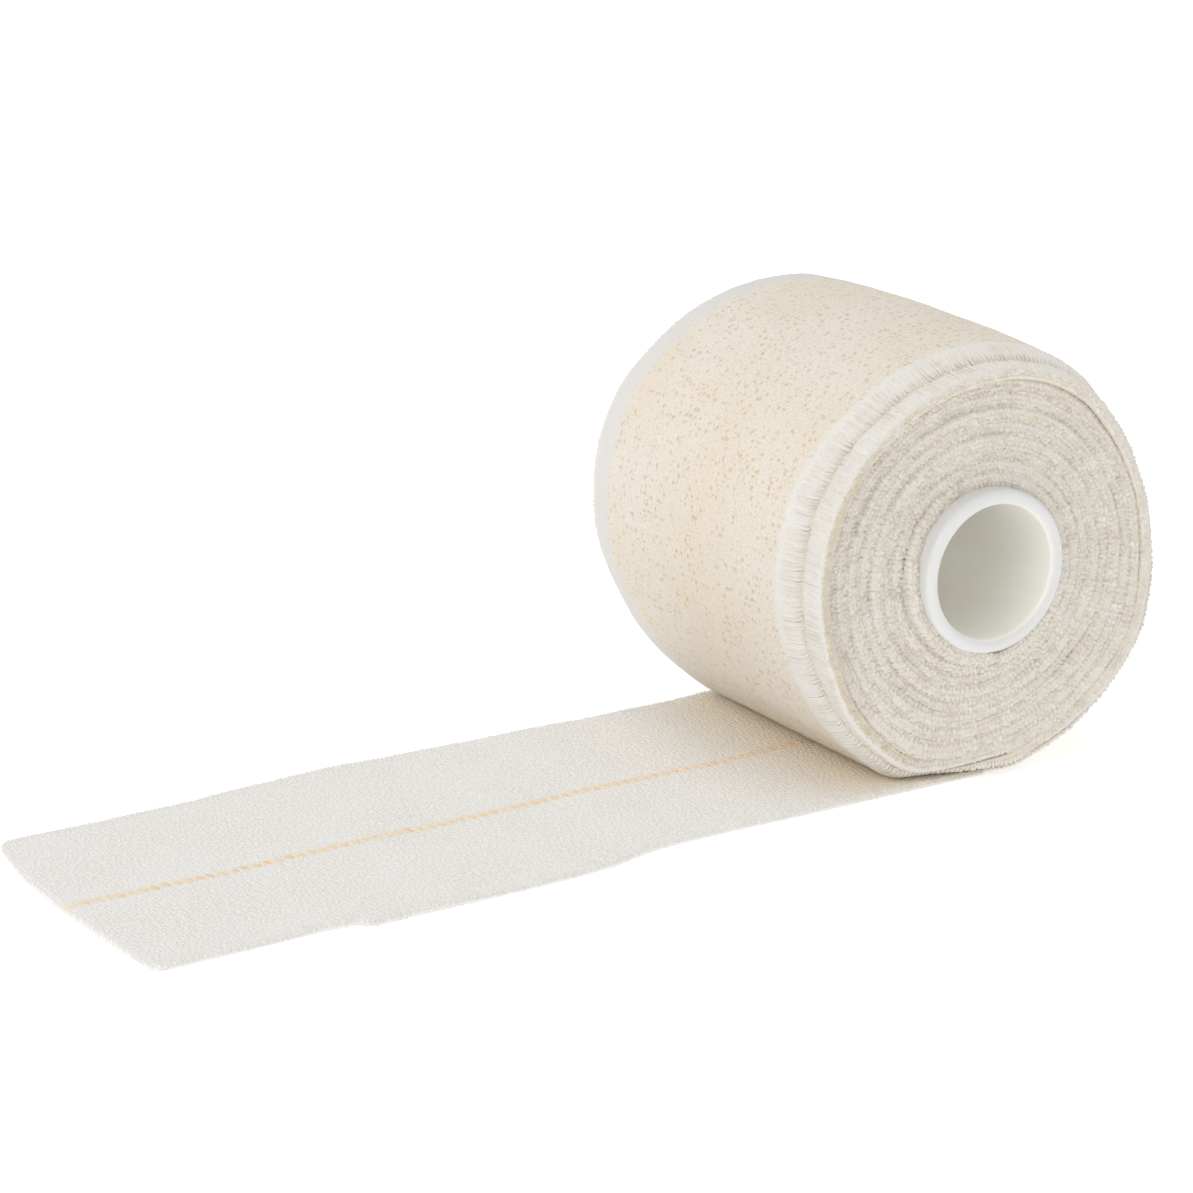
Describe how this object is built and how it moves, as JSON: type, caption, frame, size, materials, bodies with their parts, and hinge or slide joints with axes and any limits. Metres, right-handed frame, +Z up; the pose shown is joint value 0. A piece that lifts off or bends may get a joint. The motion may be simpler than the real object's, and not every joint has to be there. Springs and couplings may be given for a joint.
{
  "type": "elastic adhesive bandage roll",
  "caption": "Cream elastic woven bandage wound adhesive side out on a white plastic core, its stitched edges showing and its loose end lying flat.",
  "frame": {"origin": "on the table, under the core's axis, halfway along the roll", "axes": "+Z up; +Y along the core's axis from the near end to the far end; the loose end runs out towards -X"},
  "size_m": [0.2296, 0.0943, 0.0859],
  "materials": {
    "cloth": "matte woven cloth, cream adhesive face and white backing",
    "core_plastic": "smooth satin white moulding"
  },
  "bodies": {
    "root": {"bandage": "cloth", "core": "core_plastic"}
  },
  "joints": []
}
